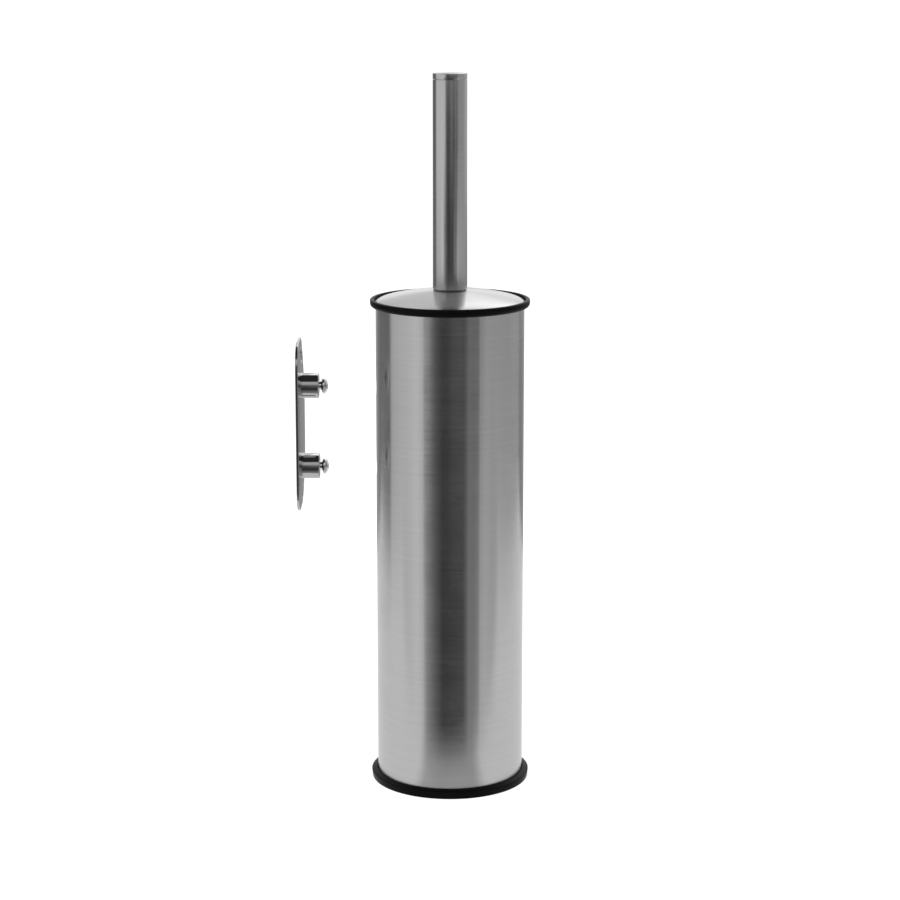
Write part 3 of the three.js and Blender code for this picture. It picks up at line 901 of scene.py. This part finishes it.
# What the steel mirrors: (degrees, brightness) round the room, from the viewer's side with the right
# positive, in six bands that lie above each other. The viewer's side is dark, with a large pale panel
# on its left and a greyer one on its right. The back is pale, and brighter on the right and higher up.
ROOM_LOWEST = [  # well below the horizon: what the tube's lower half shows
    (-180, 0.3), (-160, 0.4), (-152, 0.28), (-140, 0.2), (-108, 0.18),
    (-104, 0.48), (-84, 0.57), (-72, 0.62), (-54, 0.78), (-46, 0.72), (-41, 0.6),  # left panel
    (-37, 0.34), (-27, 0.2), (-18, 0.1), (-12, 0.045), (10, 0.055), (20, 0.07),  # dark round the camera
    (26, 0.18), (30, 0.31), (34, 0.3), (39, 0.33), (45, 0.42),
    (48, 0.65), (55, 0.69), (70, 0.52), (100, 0.43), (124, 0.38), (132, 0.36),  # right panel
    (138, 0.25), (152, 0.25), (160, 0.35), (180, 0.3),
]
ROOM_LOW = [  # below the horizon: what the tube's upper half shows
    (-180, 0.3), (-160, 0.4), (-152, 0.28), (-140, 0.2), (-108, 0.18),
    (-104, 0.48), (-84, 0.57), (-72, 0.62), (-54, 0.72), (-46, 0.6), (-42, 0.42),  # left panel
    (-40, 0.08), (-18, 0.08), (-12, 0.045), (10, 0.055), (20, 0.07),  # dark round the camera
    (26, 0.15), (30, 0.23), (34, 0.14), (45, 0.13),
    (48, 0.38), (59, 0.47), (100, 0.42), (124, 0.38), (132, 0.36),  # right panel
    (138, 0.25), (152, 0.25), (160, 0.35), (180, 0.3),
]
ROOM_LEVEL = [  # at the horizon: what the handle shows
    (-180, 1.0), (-165, 0.9), (-150, 0.2), (-116, 0.15), (-108, 0.2),
    (-98, 0.7), (-35, 0.75),  # left panel
    (-26, 0.25), (-20, 0.07), (-4, 0.06), (4, 0.14), (16, 0.16), (22, 0.08), (28, 0.08),
    (35, 0.17), (45, 0.12), (52, 0.15),
    (58, 0.3), (100, 0.36), (120, 0.5), (150, 0.55),  # right panel
    (160, 0.9), (180, 1.0),
]
ROOM_HIGH = [  # above it: what the back of the lid and the bosses show
    (-180, 0.82), (-170, 0.7), (-100, 0.6), (-60, 0.5), (60, 0.5), (100, 0.45), (160, 0.95), (180, 0.95),
]
ROOM_TOP = [  # the back wall's upper part, which the front of the lid shows
    (-180, 0.85), (-165, 0.72), (-100, 0.65), (-60, 0.6), (60, 0.6),
    (100, 0.7), (130, 1.2), (150, 1.7), (180, 1.75),
]
ROOM_CEILING = [(-180, 1.0), (-120, 0.7), (-80, 0.03), (80, 0.03), (120, 1.0), (180, 1.6)]
# the bands blend into each other between these degrees above the horizon
LOW_FROM = (-17.0, -12.5)
LEVEL_FROM = (-8.0, -6.0)
HIGH_FROM = (8.0, 18.0)
TOP_FROM = (20.0, 32.0)
CEILING_FROM = (38.0, 46.0)
DARK_FROM = (58.0, 66.0)
UNDERSIDE = (-60.0, -30.0)

# The white board under the object that the steel mirrors: its brightness in front and at the sides, and
# the degrees from the viewer's side between which one becomes the other.
BOARD_IN_FRONT = 0.47
BOARD_ASIDE = 0.79
BOARD_TURNS_PALE = (28.0, 40.0)


def tone_ramp(tree, factor, stops):
    """Brightness by direction: the factor runs from 0 at -180 degrees to 1 at +180."""
    node = add(tree, "ShaderNodeValToRGB", {"Fac": factor})
    ramp = node.color_ramp
    for index, (degrees, tone) in enumerate(stops):
        position = degrees / 360 + 0.5
        if index == 0:
            stop = ramp.elements[0]
        elif index == len(stops) - 1:
            stop = ramp.elements[-1]
        else:
            stop = ramp.elements.new(position)
        stop.position = position
        stop.color = grey(tone)
    return node.outputs[0]


def make_world():
    """White for the camera and for shading; surfaces that mirror show the studio's room instead."""
    world = bpy.data.worlds.new("studio")
    bpy.context.scene.world = world
    world.use_nodes = True
    world.cycles.sampling_method = "NONE"
    tree = world.node_tree
    tree.nodes.clear()
    direction = add(tree, "ShaderNodeTexCoord").outputs["Generated"]
    turn = maths(tree, "MULTIPLY_ADD", degrees_from_viewer(tree, direction), 1 / 360, 0.5)
    elevation = maths(tree, "DEGREES", maths(tree, "ARCSINE", xyz(tree, direction)[2]))
    room = tone_ramp(tree, turn, ROOM_LOWEST)
    bands = [
        (ROOM_LOW, LOW_FROM),
        (ROOM_LEVEL, LEVEL_FROM),
        (ROOM_HIGH, HIGH_FROM),
        (ROOM_TOP, TOP_FROM),
        (ROOM_CEILING, CEILING_FROM),
    ]
    for band, between in bands:
        share = remap(tree, elevation, *between, 0.0, 1.0)
        room = blend_colour(tree, share, room, tone_ramp(tree, turn, band))
    room = blend_colour(tree, remap(tree, elevation, *DARK_FROM, 0.0, 1.0), room, grey(0.03))
    room = blend_colour(tree, remap(tree, elevation, *UNDERSIDE, 1.0, 0.0), room, grey(0.3))
    studio = add(tree, "ShaderNodeBackground", {"Color": room, "Strength": 1.0})
    plain = add(tree, "ShaderNodeBackground", {"Color": grey(1.0), "Strength": 1.0})
    glossy = add(tree, "ShaderNodeLightPath").outputs["Is Glossy Ray"]
    mixed = add(tree, "ShaderNodeMixShader", {0: glossy, 1: plain.outputs[0], 2: studio.outputs[0]})
    add(tree, "ShaderNodeOutputWorld", {"Surface": mixed.outputs[0]})


def flat_sheet(name, x_from, x_to, y_from, y_to, height, material):
    bm = bmesh.new()
    corners = [(x_from, y_from), (x_to, y_from), (x_to, y_to), (x_from, y_to)]
    bm.faces.new([bm.verts.new((x, y, height)) for x, y in corners])
    obj = new_object(name, bm)
    obj.data.materials.append(material)
    return obj


def make_floor():
    """A wide pale floor, which gives part of its own light and isn't mirrored."""
    pale, _, _ = new_material(
        "pale_floor", Base_Color=grey(0.4), Roughness=0.9, Emission_Color=grey(1.0), Emission_Strength=0.72
    )
    pale.cycles.emission_sampling = "NONE"
    floor = flat_sheet("floor", -40, 40, -40, 40, 0, pale)
    floor.visible_glossy = False


def make_board():
    """What steel mirrors instead of the floor: a white board, darker towards the viewer."""
    material = bpy.data.materials.new("white_board")
    material.use_nodes = True
    tree = material.node_tree
    tree.nodes.clear()
    turn = degrees_from_viewer(tree, object_place(tree))
    aside = remap(tree, maths(tree, "ABSOLUTE", turn), *BOARD_TURNS_PALE, 0.0, 1.0)
    tone = blend_colour(tree, aside, grey(BOARD_IN_FRONT), grey(BOARD_ASIDE))
    glow = add(tree, "ShaderNodeEmission", {"Color": tone, "Strength": 1.0})
    add(tree, "ShaderNodeOutputMaterial", {"Surface": glow.outputs[0]})
    material.cycles.emission_sampling = "NONE"
    board = flat_sheet("white_board", -0.55, 0.55, -0.11, 0.5, -0.0005, material)
    board.visible_camera = False
    board.visible_diffuse = False
    board.visible_shadow = False
    board.visible_transmission = False


def make_sun():
    """One very soft light from above, which models the plastic and the bristles."""
    light = bpy.data.lights.new("soft_overhead", "SUN")
    light.energy = 1.0
    light.angle = math.radians(70)
    lamp = bpy.data.objects.new("soft_overhead", light)
    lamp.rotation_euler = (math.radians(35), math.radians(-25), 0)
    lamp.visible_glossy = False
    bpy.context.scene.collection.objects.link(lamp)


def make_camera():
    camera = bpy.data.cameras.new("viewer")
    camera.sensor_width = 36
    camera.lens = CAMERA_LENS
    camera.clip_start = 0.01
    camera.clip_end = 200
    obj = bpy.data.objects.new("viewer", camera)
    obj.location = (0, -CAMERA_DISTANCE, CAMERA_HEIGHT)
    obj.rotation_euler = (math.radians(90 - CAMERA_TILT), 0, 0)
    bpy.context.scene.collection.objects.link(obj)
    bpy.context.scene.camera = obj


def main():
    make_camera()
    make_world()
    make_floor()
    make_board()
    make_sun()
    bpy.context.scene.view_settings.view_transform = "Standard"

    make_tube()
    make_rim()
    make_base()
    make_drip_cup()

    make_lid()
    make_locating_ring()
    make_bush()

    make_handle()
    make_end_cap()
    make_foot_washer()
    make_stem()
    make_retaining_ring()
    dress_handle_plug()

    make_hub()
    rng = random.Random(7)
    for row in range(BRISTLE_ROWS):
        make_bristle_row(row, rng)
    make_bristle_tip(rng)

    make_wall_plate()
    for end in ("upper", "lower"):
        make_boss(end)
        make_hook_screw(end)


main()
